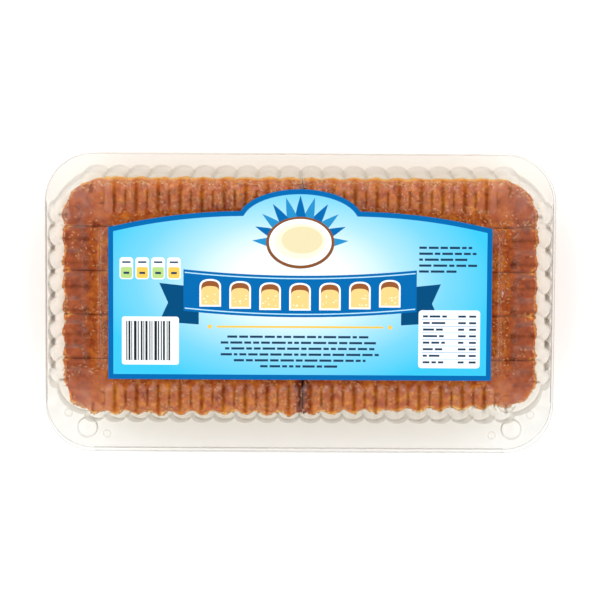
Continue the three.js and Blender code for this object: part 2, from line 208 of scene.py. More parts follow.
# Where it lies on the cake it carries a pale veil in smears about 4 mm across: a thin misty layer, and
# painted sheen in place of its reflection. The same veil paints thin highlight lines along the end grooves
# and the panel's edge.
veil_strength = add_node(tree, "MapRange", {
    0: grain(tree, 4), 1: 0.3, 2: 0.7, 3: 0.6 * PET_VEIL, 4: 1.4 * PET_VEIL,
})
veil_share = add_node(tree, "Attribute", attribute_name="haze").outputs["Fac"]
veil_strength = add_node(tree, "Math", {0: veil_strength, 1: veil_share}, operation="MULTIPLY")
veil = add_node(tree, "BsdfDiffuse", {"Color": linear("#f3ece4")})
sheet_look = add_node(tree, "MixShader", {"Fac": veil_strength, 1: sheet_look, 2: veil})
add_node(tree, "OutputMaterial", {"Surface": sheet_look})

# The same sheet where it turns a tight corner, as round a button: it acts as a lens there, and its grey
# outline is painted shade in its tint.
tight_pet, tree = new_material("clear_pet_tight_bend")
bend_look = pet_look(tree, ((0.0, "#f6f5f3"), (0.3, "#f2f0ed"), (0.5, "#d8d5d0"), (0.9, "#d2cec8"),
                            (1.0, "#bab5ae")))
add_node(tree, "OutputMaterial", {"Surface": bend_look})

# The trimmed edge of the same sheet, frosted by the cutter, with fine marks about 0.8 mm apart.
cut_pet, tree = new_material("clear_pet_cut_edge")
frost = add_node(tree, "MapRange", {0: grain(tree, 0.8), 3: 0.35, 4: 0.6})
surface = add_node(tree, "BsdfPrincipled", {
    "Base Color": linear("#a8a49f"), "Roughness": frost, "IOR": 1.57, "Alpha": 0.4,
})
add_node(tree, "OutputMaterial", {"Surface": surface})


def rounded_rect(half_length, half_depth, radii, steps, middle=(0.0, 0.0)):
    """Points round a rounded rectangle, anticlockwise from +X +Y, with a radius for each corner."""
    points = []
    for corner, (sign_x, sign_y) in enumerate([(1, 1), (-1, 1), (-1, -1), (1, -1)]):
        radius = radii[corner]
        for step in range(steps + 1):
            angle = (corner + step / steps) * math.pi / 2
            x = middle[0] + sign_x * (half_length - radius) + radius * math.cos(angle)
            y = middle[1] + sign_y * (half_depth - radius) + radius * math.sin(angle)
            points.append((x, y))
    return points


# The walls' outline at the flange, as a path that starts at the middle of the right side.
body_radii = [BACK_CORNER, BACK_CORNER, FRONT_CORNER, FRONT_CORNER]
body_path = [(BODY_HALF_LENGTH, BODY_Y)]
body_path += rounded_rect(BODY_HALF_LENGTH, BODY_HALF_DEPTH, body_radii, ARC_STEPS, (0.0, BODY_Y))
outline_curve = bpy.data.curves.new("body_outline", "CURVE")
outline_curve.dimensions = "3D"
spline = outline_curve.splines.new("POLY")
spline.points.add(len(body_path) - 1)
for point, (x, y) in zip(spline.points, body_path):
    point.co = (x, y, 0.0, 1.0)
spline.use_cyclic_u = True
outline = new_object("body_outline", outline_curve)


def half_way_round(radius):
    """From the middle of a short side to the middle of a long one, round a corner of that radius."""
    arc = 2 * radius * ARC_STEPS * math.sin(math.pi / 4 / ARC_STEPS)
    return BODY_HALF_DEPTH + BODY_HALF_LENGTH - 2 * radius + arc


short_half = SHORT_SIDE_FLUTES * SHORT_SIDE_PITCH / 2 + END_PITCH
long_half = LONG_SIDE_FLUTES * LONG_SIDE_PITCH / 2 + END_PITCH
back_turn = half_way_round(BACK_CORNER)
front_turn = half_way_round(FRONT_CORNER)
sides = []
for flutes, pitch, middle, turn in (
    (SHORT_SIDE_FLUTES, SHORT_SIDE_PITCH, 0.0, back_turn),
    (LONG_SIDE_FLUTES, LONG_SIDE_PITCH, back_turn, back_turn),
    (SHORT_SIDE_FLUTES, SHORT_SIDE_PITCH, 2 * back_turn, front_turn),
    (LONG_SIDE_FLUTES, LONG_SIDE_PITCH, 2 * back_turn + front_turn, front_turn),
):
    sides.append({
        "Flutes": flutes, "Pitch": pitch, "End Pitch": END_PITCH, "Middle": middle,
        "Corner Run": turn - short_half - long_half,
    })

# One side of the wall laid out straight: a row of flutes, a wider one at each end, and the plain corner
# that follows.
flute_row, given = new_tree("flute_row", {
    "Geometry": "Geometry", "Flute": "Object", "End Flute": "Object", "Corner": "Object",
    "Flutes": "Int", "Pitch": "Float", "End Pitch": "Float", "Middle": "Float", "Corner Run": "Float",
    "Sheet": "Material",
})
tree = flute_row
runs = {name: given[name] for name in ("Pitch", "End Pitch", "Middle", "Corner Run")}
runs["row"] = add_node(tree, "Math", {0: given["Flutes"], 1: given["Pitch"]}, operation="MULTIPLY")
# Each run is a share of one run added to another.
for name, run, share, base in (
    ("half on", "Pitch", 0.5, "Middle"), ("first flute", "row", -0.5, "half on"),
    ("ends apart", "row", 1.0, "End Pitch"), ("first end", "ends apart", -0.5, "Middle"),
    ("past end", "Corner Run", 0.5, "End Pitch"), ("past row", "row", 0.5, "past end"),
    ("corner middle", "past row", 1.0, "Middle"),
):
    runs[name] = add_node(tree, "Math", {0: runs[run], 1: share, 2: runs[base]}, operation="MULTIPLY_ADD")
rows = [given["Geometry"]]
for shape, count, start, step, width in (
    ("Flute", given["Flutes"], "first flute", runs["Pitch"], "Pitch"),
    ("End Flute", 2, "first end", runs["ends apart"], "End Pitch"),
    ("Corner", 1, "corner middle", 0.0, "Corner Run"),
):
    line = add_node(tree, "GeometryNodeMeshLine", {
        "Count": count,
        "Start Location": add_node(tree, "CombineXYZ", {"X": runs[start]}),
        "Offset": add_node(tree, "CombineXYZ", {"X": step}),
    })
    patch = add_node(tree, "GeometryNodeObjectInfo", {"Object": given[shape]})
    rows.append(add_node(tree, "GeometryNodeInstanceOnPoints", {
        "Points": line,
        "Instance": patch.outputs["Geometry"],
        "Scale": add_node(tree, "CombineXYZ", {"X": runs[width], "Y": 1.0, "Z": 1.0}),
    }))
row = add_node(tree, "GeometryNodeJoinGeometry", {"Geometry": rows})
row = add_node(tree, "GeometryNodeRealizeInstances", {"Geometry": row})
row = add_node(tree, "GeometryNodeSetMaterial", {"Geometry": row, "Material": given["Sheet"]})
add_node(tree, "NodeGroupOutput", {"Geometry": row})

# The straight wall bent round the outline: X runs along the path, and Y goes inwards from it.
bend_round, given = new_tree("bend_round", {
    "Geometry": "Geometry", "Outline": "Object", "Weld": "Float", "Sheet": "Material",
})
tree = bend_round
place = add_node(tree, "SeparateXYZ", {0: add_node(tree, "GeometryNodeInputPosition")})
path = add_node(tree, "GeometryNodeObjectInfo", {"Object": given["Outline"]}).outputs["Geometry"]
path_length = add_node(tree, "GeometryNodeCurveLength", {"Curve": path})
along = add_node(tree, "Math", {0: place.outputs["X"], 1: path_length, 2: 0.0}, operation="WRAP")
sample = add_node(tree, "GeometryNodeSampleCurve", {"Curves": path, "Length": along},
                  mode="LENGTH", use_all_curves=True)
inwards = add_node(tree, "VectorMath", {0: (0.0, 0.0, 1.0), 1: sample.outputs["Tangent"]},
                   operation="CROSS_PRODUCT")
inset = add_node(tree, "VectorMath", {0: inwards, "Scale": place.outputs["Y"]}, operation="SCALE")
level = add_node(tree, "CombineXYZ", {"Z": place.outputs["Z"]})
bent = add_node(tree, "VectorMath", {0: sample.outputs["Position"], 1: inset})
bent = add_node(tree, "VectorMath", {0: bent, 1: level})
wall = add_node(tree, "GeometryNodeSetPosition", {"Geometry": given["Geometry"], "Position": bent})
wall = add_node(tree, "GeometryNodeMergeByDistance", {"Geometry": wall, "Distance": given["Weld"]})
wall = add_node(tree, "GeometryNodeRealizeInstances", {"Geometry": wall})
wall = add_node(tree, "GeometryNodeSetMaterial", {"Geometry": wall, "Material": given["Sheet"]})
add_node(tree, "NodeGroupOutput", {"Geometry": wall})


def wall_patch(name, across, section, crease=None):
    """A patch of wall one unit wide. section gives its (inset, height) points at each place across, and
    crease gives the painted shade of the sheet at each of them."""
    columns = [section(u) for u in across]
    rings = len(columns[0])
    corners = [(u / 2, *point) for u, column in zip(across, columns) for point in column]
    faces = []
    for column in range(len(across) - 1):
        for ring in range(rings - 1):
            here = column * rings + ring
            faces.append((here, here + rings, here + rings + 1, here + 1))
    mesh = bpy.data.meshes.new(name)
    mesh.from_pydata(corners, [], faces)
    mesh.shade_smooth()
    crease_shades = [crease(abs(u), ring) if crease else 0.0 for u in across for ring in range(rings)]
    store(mesh, "crease", crease_shades)
    return new_object(name, mesh)


flute_across = [-u for u in FLUTE_COLUMNS[::-1]] + [0.0] + FLUTE_COLUMNS
corner_across = [2 * step / CORNER_COLUMNS - 1 for step in range(CORNER_COLUMNS + 1)]


def half_round(across):
    return math.sqrt(max(1 - across * across, 0.0))


def bow(across):
    return 1 - across * across


def fluted_wall(short_flute, long_flute, end_flute, back_corner, front_corner):
    """The whole wall of flutes, as an open sheet."""
    strip = new_object("strip", bpy.data.meshes.new("strip"))
    flutes = (short_flute, long_flute, short_flute, long_flute)
    corners = (back_corner, back_corner, front_corner, front_corner)
    rows = []
    for side, flute, corner in zip(sides, flutes, corners):
        shapes = {"Flute": flute, "End Flute": end_flute, "Corner": corner, "Sheet": clear_pet}
        rows.append((flute_row, {**side, **shapes}))
    bend = (bend_round, {"Outline": outline, "Weld": WELD, "Sheet": clear_pet})
    mesh = apply_tree(strip, *rows, bend)
    sheet = bmesh.new()
    sheet.from_mesh(mesh)
    for face in sheet.faces:
        face.material_index = 0
    discard(strip)
    return sheet


def places(verts):
    return [tuple(vert.co) for vert in verts]


def open_rim(sheet, height, near=0.002 * MM):
    """The loop of open edges near a height."""
    steps = {}
    for edge in sheet.edges:
        if edge.is_boundary and all(abs(vert.co.z - height) < near for vert in edge.verts):
            for vert in edge.verts:
                steps.setdefault(vert, []).append(edge.other_vert(vert))
    start = next(iter(steps))
    loop = [start]
    before, here = None, start
    while True:
        onward = steps[here][0] if steps[here][0] is not before else steps[here][1]
        if onward is start:
            return places(loop)
        loop.append(onward)
        before, here = here, onward


def anticlockwise(loop):
    area = sum(a[0] * b[1] - b[0] * a[1] for a, b in zip(loop, loop[1:] + loop[:1]))
    return loop if area > 0 else loop[::-1]


def fill_flat(sheet, outer, holes=(), spacing=5 * MM):
    """Fills the flat part of a sheet between an outer loop and holes, with the slight waves of formed
    sheet."""
    loops = [anticlockwise(list(loop)) for loop in (outer, *holes)]
    rim = np.array([point for loop in loops for point in loop])
    ends = np.cumsum([0] + [len(loop) for loop in loops])
    areas = [list(range(first, last)) for first, last in zip(ends, ends[1:])]
    low = rim.min(axis=0)
    high = rim.max(axis=0)
    points = [Vector(point[:2]) for point in rim]
    for x in np.arange(low[0], high[0], spacing):
        for y in np.arange(low[1], high[1], spacing):
            if np.hypot(rim[:, 0] - x, rim[:, 1] - y).min() > spacing / 3:
                points.append(Vector((x, y)))
    corners, _, triangles, _, _, origins = geometry.delaunay_2d_cdt(points, [], areas, 1, 1e-8)
    heights = np.full(len(corners), rim[:, 2].mean())
    apart = np.zeros(len(corners))
    for k, (x, y) in enumerate(corners):
        gaps = np.hypot(rim[:, 0] - x, rim[:, 1] - y)
        apart[k] = gaps.min()
        if apart[k] <= ON_RIM:
            heights[k] = rim[gaps.argmin(), 2]
    # The sheet hangs from its rims like a skin: each free point settles at the mean of its neighbours.
    kept = [triangle for triangle, origin in zip(triangles, origins) if list(origin) == [0]]
    starts = np.array([triangle[k] for triangle in kept for k in range(3)])
    stops = np.array([triangle[k - 1] for triangle in kept for k in range(3)])
    free = apart > ON_RIM
    neighbours = np.maximum(np.bincount(starts, minlength=len(corners)), 1)
    for _ in range(SETTLING_STEPS):
        settled = np.bincount(starts, heights[stops], minlength=len(corners)) / neighbours
        heights[free] = settled[free]
    verts = []
    for (x, y), z, gap in zip(corners, heights, apart):
        wave = noise.noise(Vector((x, y, z)) / WAVE_LENGTH) * min(gap / STIFF_RIM, 1.0)
        verts.append(sheet.verts.new((x, y, z + SHEET_WAVE * wave)))
    for triangle in kept:
        sheet.faces.new([verts[k] for k in triangle]).smooth = True


def join_rings(sheet, lower, upper, smooth=True, finish=0):
    """Faces between two rings of points. The upper one may be a single point."""
    for k in range(len(lower)):
        ahead = (k + 1) % len(lower)
        quad = [lower[k], lower[ahead], upper[ahead % len(upper)], upper[k % len(upper)]]
        face = sheet.faces.new(quad if len(upper) > 1 else quad[:3])
        face.smooth = smooth
        face.material_index = finish


def add_cap(sheet, middle, height, profile_mm, sides=40, outlined=True):
    """A round boss on a flat sheet, from (radius, rise) points in millimetres. Gives the loop where it
    meets the sheet."""
    profile = [(radius * MM, rise * MM) for radius, rise in profile_mm]
    rings = []
    for radius, rise in profile:
        turns = [2 * math.pi * k / sides for k in range(sides)] if radius > 0 else [0.0]
        rings.append([])
        for turn in turns:
            x = middle[0] + radius * math.cos(turn)
            y = middle[1] + radius * math.sin(turn)
            rings[-1].append(sheet.verts.new((x, y, height + rise)))
    for number, (lower, upper) in enumerate(zip(rings, rings[1:])):
        inwards = profile[number][0] - profile[number + 1][0]
        is_steep = profile[number + 1][1] - profile[number][1] >= inwards
        # A steep ring takes the tight-bend finish, whose grey outline is painted shade.
        join_rings(sheet, lower, upper, finish=2 if is_steep and outlined else 0)
    return places(rings[0])


def close_sheet(sheet, name, top_faces_up):
    """Welds the open sheet, turns it the right way out and gives it its thickness."""
    bmesh.ops.remove_doubles(sheet, verts=sheet.verts, dist=SEAM)
    bmesh.ops.recalc_face_normals(sheet, faces=sheet.faces)
    widest = max(sheet.faces, key=lambda face: face.calc_area())
    if (widest.normal.z > 0) != top_faces_up:
        bmesh.ops.reverse_faces(sheet, faces=sheet.faces)
    mesh = bpy.data.meshes.new(name)
    sheet.to_mesh(mesh)
    sheet.free()
    mesh.set_sharp_from_angle(angle=SHARP_BEND)
    for finish in (clear_pet, cut_pet, tight_pet):
        mesh.materials.append(finish)
    piece = new_object(name, mesh)
    thicken = piece.modifiers.new("thickness", "SOLIDIFY")
    thicken.thickness = SHEET
    thicken.offset = -1
    thicken.material_offset_rim = 1
    piece.data = apply_tree(piece)
    return piece


def add_trimmed_edge(sheet, height, half_length, half_depth, middle=(0.0, 0.0)):
    """The narrow edge of a flange, which droops where it was cut. Gives the loop where the flat part
    ends."""
    rings = []
    for inset_by, drop in ((EDGE_DROOP, 0.0), (0.0, EDGE_DROOP)):
        radii = [FLANGE_CORNER - inset_by] * 4
        loop = rounded_rect(half_length - inset_by, half_depth - inset_by, radii, 16, middle)
        rings.append([sheet.verts.new((x, y, height - drop)) for x, y in loop])
    join_rings(sheet, rings[1], rings[0], smooth=False)
    return places(rings[0])


def quarter_turn(steps):
    """The sine and cosine of each angle from 0 to 90 degrees."""
    angles = [step / steps * math.pi / 2 for step in range(steps + 1)]
    return [(math.sin(angle), math.cos(angle)) for angle in angles]


def tray_section(rise):
    """From under the flange down the wall to the floor."""
    groove = FLUTE_DEPTH * (1 - rise)
    points = []
    for sin, cos in quarter_turn(3):
        points.append((groove - FOOT_FILLET * (1 - sin), TRAY_FLANGE_UNDER - FOOT_FILLET * (1 - cos)))
    low = groove + WALL_LEAN * (TRAY_FLANGE_UNDER - FLOOR_RADIUS)
    floor_inset = max(FLOOR_INSET, low + FLOOR_EDGE)
    points.append(((groove + low) / 2, (TRAY_FLANGE_UNDER - FOOT_FILLET + FLOOR_RADIUS) / 2))
    for sin, cos in quarter_turn(6):
        points.append((low + (floor_inset - low) * (1 - cos), FLOOR_RADIUS * (1 - sin)))
    return points


tray_flute = wall_patch("tray_flute", flute_across, lambda u: tray_section(half_round(u)))
tray_corners = [
    wall_patch("tray_corner", corner_across, lambda u, rise=rise: tray_section(rise * bow(u)))
    for rise in (BACK_CORNER_RISE, FRONT_CORNER_RISE)
]
sheet = fluted_wall(tray_flute, tray_flute, tray_flute, *tray_corners)
stud_profile = ((4.0, 0), (3.7, 0.1), (3.5, 0.4), (3.2, 1.9), (3.0, 2.2), (2.7, 2.35), (0, 2.4))
studs = [add_cap(sheet, (side * BUTTON_X, BUTTON_Y), TRAY_FLANGE_UNDER, stud_profile, outlined=False)
         for side in (-1, 1)]
flange_edge = add_trimmed_edge(sheet, TRAY_FLANGE_UNDER, FLANGE_HALF_LENGTH, FLANGE_HALF_DEPTH)
fill_flat(sheet, flange_edge, [open_rim(sheet, TRAY_FLANGE_UNDER), *studs])
fill_flat(sheet, open_rim(sheet, 0.0))
tray = close_sheet(sheet, "clear_tray", top_faces_up=False)
discard(tray_flute, *tray_corners)
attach(tray, "root")
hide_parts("tray")


# The cake: two blocks of sponge side by side, each cut across into five slices that stay together. The
# top is a thin brown crust, and the cut faces are a soft golden crumb with small holes.

VOXEL = 0.9 * MM
LOAVES_MEET = 1.2 * MM
LAST_ROW = 5
CUT_SKIN = 1.2 * MM
FINE_SIZE = 1.5 * MM
CRAG_SIZE = 3.2 * MM
SWELL_SIZE = 9 * MM
PORE_SIZE = 2.6 * MM
PORE_DEPTH = 0.6
CUT_EDGE_BAKE = 0.8
EDGE_PRESSED_OUT = 5.2
CORNER_PRESSED_OUT = 3.6
END_PRESSED_IN = 0.45
FRONT_BULGE = 0.95
FRONT_BULGE_MIDDLE = 0.9
BACK_BULGE = 0.3
CRUST_FADES_FROM = 3 * MM
CRUST_FADES_TO = 22 * MM
SIDE_BAKE = 0.58
SIDE_BAKE_RISE = 0.24
RIM_PALER = 0.8
ENDS_BROWNED_AND_SHADED = 0.13
DIP_SHADE = 0.12
FRONT_DIP_SHADE = 0.24
FRONT_PALER = 0.07
PATCHES_MEAN = 0.75
BAKE_SHIFT = 0.27

# Baked sponge and its crust: dry and dull, so nothing shines, and mottled from gold to brown by the oven.
sponge, tree = new_material("baked_sponge_and_crust")
# The bake attribute holds the oven's browning, with some painted shade added in the dip between the loaves
# and at the two ends.
bake = add_node(tree, "Attribute", attribute_name="bake").outputs["Fac"]
# Patches about 9 mm across where the oven browned it more, blotches of 3 mm and crumbs of 1 mm.
patches = -PATCHES_MEAN
for size_mm, share in ((9, 0.4), (3, 0.7), (1.4, 0.4)):
    crumbs = grain(tree, size_mm, detail=2.0)
    patches = add_node(tree, "Math", {0: crumbs, 1: share, 2: patches}, operation="MULTIPLY_ADD")
patchy = add_node(tree, "Attribute", attribute_name="patchy").outputs["Fac"]
browned_and_shaded = add_node(tree, "Math", {0: patches, 1: patchy, 2: bake}, operation="MULTIPLY_ADD")
browned_and_shaded = add_node(tree, "Math", {0: browned_and_shaded, 1: BAKE_SHIFT}, operation="SUBTRACT")
colour = add_node(tree, "ValToRGB", {"Fac": browned_and_shaded}, (
    (0.0, "#f3dcb0"), (0.25, "#e2b562"), (0.45, "#d4892e"), (0.62, "#be6726"), (0.78, "#a74f23"),
    (0.9, "#8e3d18"), (1.0, "#6b2c13")))
bump = add_node(tree, "Bump", {"Height": crumbs, "Strength": 0.6, "Distance": 0.3 * MM})
surface = add_node(tree, "BsdfPrincipled", {
    "Base Color": colour, "Roughness": 0.9, "IOR": 1.45, "Specular IOR Level": 0.04, "Normal": bump,
})
add_node(tree, "OutputMaterial", {"Surface": surface})


def smooth_step(low, high, value):
    share = min(max((value - low) / (high - low), 0.0), 1.0)
    return share * share * (3 - 2 * share)


def under_end(spot):
    """How far a place lies under the fingers at the ends of the lid."""
    return smooth_step(95 * MM, 98 * MM, abs(spot.x))


def under_corner(spot):
    """How far a place lies under the plain corners of the lid."""
    from_middle = abs(spot.y - BODY_Y)
    return smooth_step(84 * MM, 90 * MM, abs(spot.x)) * smooth_step(34 * MM, 38 * MM, from_middle)


def baked_slice(node, row):
    """One slice with a craggy crust and an open crumb, grown from its plain solid."""
    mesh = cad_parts[node].data.copy()
    block = bmesh.new()
    block.from_mesh(mesh)
    bmesh.ops.remove_doubles(block, verts=block.verts, dist=0.001 * MM)
    block.to_mesh(mesh)
    block.free()
    piece = new_object(node + "_baked", mesh)
    remesh = piece.modifiers.new("crumb", "REMESH")
    remesh.mode = "VOXEL"
    remesh.voxel_size = VOXEL
    piece.data = apply_tree(piece)
    mesh = piece.data
    low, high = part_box(node)
    normals = [vert.normal.copy() for vert in mesh.vertices]
    browned_and_shaded = []
    for vert, normal in zip(mesh.vertices, normals):
        spot = vert.co.copy()
        depth = high.z - spot.z
        from_seam = abs(spot.x - LOAVES_MEET)
        is_top = smooth_step(0.45, 0.8, normal.z)
        front_cut = row > 1 and spot.y < low.y + CUT_SKIN
        back_cut = row < LAST_ROW and spot.y > high.y - CUT_SKIN
        fine = noise.noise(spot / FINE_SIZE)
        crag = noise.noise(spot / CRAG_SIZE)
        swell = noise.noise(spot / SWELL_SIZE)
        if front_cut or back_cut:
            # A cut shows the crumb inside, with a thin line of crust along its top and its outer end.
            from_end = min(abs(spot.x - low.x), abs(spot.x - high.x))
            top_line = smooth_step(3.4 * MM, 1.6 * MM, depth)
            browned_and_shaded.append(max(top_line, CUT_EDGE_BAKE * smooth_step(4 * MM, 1.5 * MM, from_end)))
            pore = smooth_step(0.42, 0.18, noise.voronoi(spot / PORE_SIZE)[0][0])
            side = 0.14 - PORE_DEPTH * pore * smooth_step(2 * MM, 5 * MM, depth)
        else:
            skin = SIDE_BAKE + SIDE_BAKE_RISE * smooth_step(44 * MM, 12 * MM, depth)
            # A ragged band just below the top edge is paler.
            rim = smooth_step(0.5, 0.25, normal.z) * smooth_step(6.5 * MM, 4.5 * MM, depth)
            rim *= smooth_step(-0.45, 0.2, crag + 0.5 * fine)
            rim *= 1 - 0.8 * smooth_step(0.3, 0.7, normal.y)
            rim *= smooth_step(4 * MM, 8 * MM, from_seam)
            crust = skin + (1 - skin) * smooth_step(CRUST_FADES_TO, CRUST_FADES_FROM, depth)
            browned_and_shaded.append(crust - RIM_PALER * rim)
            # The soft edge is pressed into the lid's flutes, most of all at the front.
            end_groove = math.cos(2 * math.pi * (spot.y - BODY_Y) / SHORT_SIDE_PITCH)
            groove = math.cos(2 * math.pi * spot.x / LONG_SIDE_PITCH)
            bulge = -BACK_BULGE * groove
            if normal.y < 0:
                bulge = FRONT_BULGE * (FRONT_BULGE_MIDDLE - groove)
            side = 0.4 * fine + 0.7 * crag + 0.5 * swell
            side += normal.y ** 2 * bulge - END_PRESSED_IN * abs(normal.x) * end_groove
        top = 0.18 * fine + 0.3 * crag + 0.25 * swell
        grown = is_top * top + (1 - is_top) * side
        # The two loaves press each other's rounded inner edges square, until they touch near the top.
        touching = smooth_step(0.1, 0.4, abs(normal.x)) * smooth_step(6 * MM, 4 * MM, from_seam)
        steepest = max(abs(normal.x), abs(normal.y), abs(normal.z))
        edge_share = smooth_step(0.3, 0.6, normal.z)
        edge = CORNER_PRESSED_OUT + (EDGE_PRESSED_OUT - CORNER_PRESSED_OUT) * edge_share
        closed = (0.4 * abs(normal.x) + 0.08 * fine) * smooth_step(24 * MM, 10 * MM, depth)
        grown = grown * (1 - touching) + (closed + edge * (1 / steepest - 1)) * touching
        vert.co = spot + normal * grown * MM
        # The tin left the underside flat.
        vert.co.z = max(vert.co.z, low.z)
    # The dip between the loaves is darker, most of all in the front slices: painted shade in the crevice.
    # The two ends are darker too, partly browner crust and partly painted shade. The oven left the front
    # more golden. The crust is even where the lid rubs it, and down the sides, where the tin baked it
    # brown.
    patchy = []
    for k, (vert, normal) in enumerate(zip(mesh.vertices, normals)):
        near_top = smooth_step(18 * MM, 6 * MM, high.z - vert.co.z)
        # The two ends are darker: browner crust, and painted shade that evens out the strong light from the
        # sides.
        browned_and_shaded[k] += ENDS_BROWNED_AND_SHADED * near_top * smooth_step(92 * MM, 100 * MM, abs(vert.co.x))
        dip = near_top * smooth_step(4 * MM, 2.2 * MM, abs(vert.co.x - LOAVES_MEET))
        # Painted shade in the crevice between the loaves.
        browned_and_shaded[k] += (FRONT_DIP_SHADE if row == 1 else DIP_SHADE) * dip
        if row == 1:
            browned_and_shaded[k] -= FRONT_PALER * (1 - dip) * smooth_step(16 * MM, 2 * MM, vert.co.y - low.y)
        even = max(under_end(vert.co), under_corner(vert.co), 1.2 * smooth_step(0.6, 0.2, normal.z))
        patchy.append(1 - 0.5 * even)
    store(mesh, "bake", browned_and_shaded)
    store(mesh, "patchy", patchy)
    mesh.materials.clear()
    mesh.materials.append(sponge)
    mesh.shade_smooth()
    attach(piece, "root")
    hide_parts(node)
    return piece


slices = []
for side in ("left", "right"):
    for row in range(1, LAST_ROW + 1):
        slices.append(baked_slice(f"slice_{side}_{row}", row))


# The coconut: fine dry shreds, scattered on the batter before baking, so that they lie on the crust and
# are toasted from cream to dark brown.

SHREDS_PER_SQUARE_MM = 0.2
SHORTEST_SHRED = 0.45
LONGEST_SHRED = 1.1
SHRED_PATCH = 7 * MM
SHRED_SEED = 11
SHRED_LEAN = 0.1
TOPMOST = 42 * MM


def toasted_food(name, grain_mm, stops, roughness, ior, specular):
    """Browned food, from pale to dark by the toast that each bit carries and by its own fine grain."""
    material, tree = new_material(name)
    toast = add_node(tree, "Attribute", attribute_name="toast").outputs["Fac"]
    shade = add_node(tree, "Math", {0: grain(tree, grain_mm), 1: 0.4, 2: toast}, operation="MULTIPLY_ADD")
    surface = add_node(tree, "BsdfPrincipled", {
        "Base Color": add_node(tree, "ValToRGB", {"Fac": shade}, stops),
        "Roughness": roughness, "IOR": ior, "Specular IOR Level": specular,
    })
    add_node(tree, "OutputMaterial", {"Surface": surface})
    return material


# Toasted coconut: dry and almost dull. Its toasting differs along a shred, about every millimetre.
toasted = toasted_food("toasted_desiccated_coconut", 1, (
    (0.0, "#dcb08c"), (0.4, "#c68c60"), (0.75, "#b27140"), (1.0, "#96521f")), 0.75, 1.47, 0.1)

scatter, given = new_tree("scatter_shreds", {
    "Geometry": "Geometry", "Shred": "Object", "Per Square Metre": "Float", "Shortest": "Float",
    "Longest": "Float", "Patch Size": "Float", "Seed": "Int", "Finish": "Material",
})
tree = scatter
patch_scale = add_node(tree, "Math", {0: 1.0, 1: given["Patch Size"]}, operation="DIVIDE")
patchy = add_node(tree, "TexNoise", {"Scale": patch_scale, "Detail": 1.0})
share = add_node(tree, "MapRange", {0: patchy.outputs["Fac"], 1: 0.35, 2: 0.62, 3: 0.25, 4: 1.6})
density = add_node(tree, "Math", {0: share, 1: given["Per Square Metre"]}, operation="MULTIPLY")
spots = add_node(tree, "GeometryNodeDistributePointsOnFaces", {
    "Mesh": given["Geometry"], "Density": density, "Seed": given["Seed"],
})
lean = add_node(tree, "FunctionNodeRandomValue", {
    "Min": (-SHRED_LEAN, -SHRED_LEAN, 0.0), "Max": (SHRED_LEAN, SHRED_LEAN, 2 * math.pi),
    "Seed": given["Seed"],
}, data_type="FLOAT_VECTOR")
lean = add_node(tree, "FunctionNodeEulerToRotation", {0: lean})
turned = add_node(tree, "FunctionNodeRotateRotation", {
    "Rotation": spots.outputs["Rotation"], "Rotate By": lean,
}, rotation_space="LOCAL")
size = add_node(tree, "FunctionNodeRandomValue", {
    2: given["Shortest"], 3: given["Longest"], "Seed": given["Seed"],
})
strewn = add_node(tree, "GeometryNodeInstanceOnPoints", {
    "Points": spots,
    "Instance": add_node(tree, "GeometryNodeObjectInfo", {"Object": given["Shred"]}).outputs["Geometry"],
    "Rotation": turned,
    "Scale": size.outputs[1],
})
tone = add_node(tree, "FunctionNodeRandomValue", {2: 0.0, 3: 0.8, "Seed": given["Seed"]})
strewn = add_node(tree, "GeometryNodeStoreNamedAttribute", {
    "Geometry": strewn, "Name": "toast", "Value": tone.outputs[1],
}, data_type="FLOAT", domain="INSTANCE")
strewn = add_node(tree, "GeometryNodeRealizeInstances", {"Geometry": strewn})
strewn = add_node(tree, "GeometryNodeSetMaterial", {"Geometry": strewn, "Material": given["Finish"]})
add_node(tree, "NodeGroupOutput", {"Geometry": strewn})

# One shred: a thin curled sliver, four-sided and pointed at both ends.
shred_points = [(-1.25, 0.0, -0.02)]
for along, half_width, half_height, curl in ((-0.5, 0.42, 0.15, 0.0), (0.45, 0.46, 0.16, 0.02)):
    shred_points += [(along, -half_width, curl), (along, 0.0, curl - half_height),
                     (along, half_width, curl), (along, 0.0, curl + half_height)]
shred_points.append((1.25, 0.0, -0.02))
shred_faces = []
for k in range(4):
    ahead = (k + 1) % 4
    shred_faces += [(0, 1 + k, 1 + ahead), (1 + k, 5 + k, 5 + ahead, 1 + ahead), (9, 5 + ahead, 5 + k)]
shred_mesh = bpy.data.meshes.new("shred")
shred_mesh.from_pydata([tuple(part * MM for part in point) for point in shred_points], [], shred_faces)
shred = new_object("shred", shred_mesh)

for number, side in enumerate(("left", "right")):
    crust_top = bmesh.new()
    for piece in slices:
        if side in piece.name:
            crust_top.from_mesh(piece.data)
    # Few shreds are left where the lid rubs the crust.
    bare = []
    for face in crust_top.faces:
        middle = face.calc_center_median()
        rubbed = max(under_end(middle), under_corner(middle)) > 0.3
        rubbed = rubbed and noise.noise(middle / (6 * MM)) < 0.25
        if face.normal.z < 0.45 or middle.z < TOPMOST or rubbed:
            bare.append(face)
    bmesh.ops.delete(crust_top, geom=bare, context="FACES")
    coconut = new_object(f"coconut_{side}", bpy.data.meshes.new("crust_top"))
    crust_top.to_mesh(coconut.data)
    crust_top.free()
    coconut.data = apply_tree(coconut, (scatter, {
        "Shred": shred, "Per Square Metre": SHREDS_PER_SQUARE_MM / MM ** 2, "Shortest": SHORTEST_SHRED,
        "Longest": LONGEST_SHRED, "Patch Size": SHRED_PATCH, "Seed": SHRED_SEED + number,
        "Finish": toasted,
    }))
    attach(coconut, "root")
discard(shred)


# The crumbs: soft bits of sponge that break from the edges and cling there, so that the edges look fuzzy.

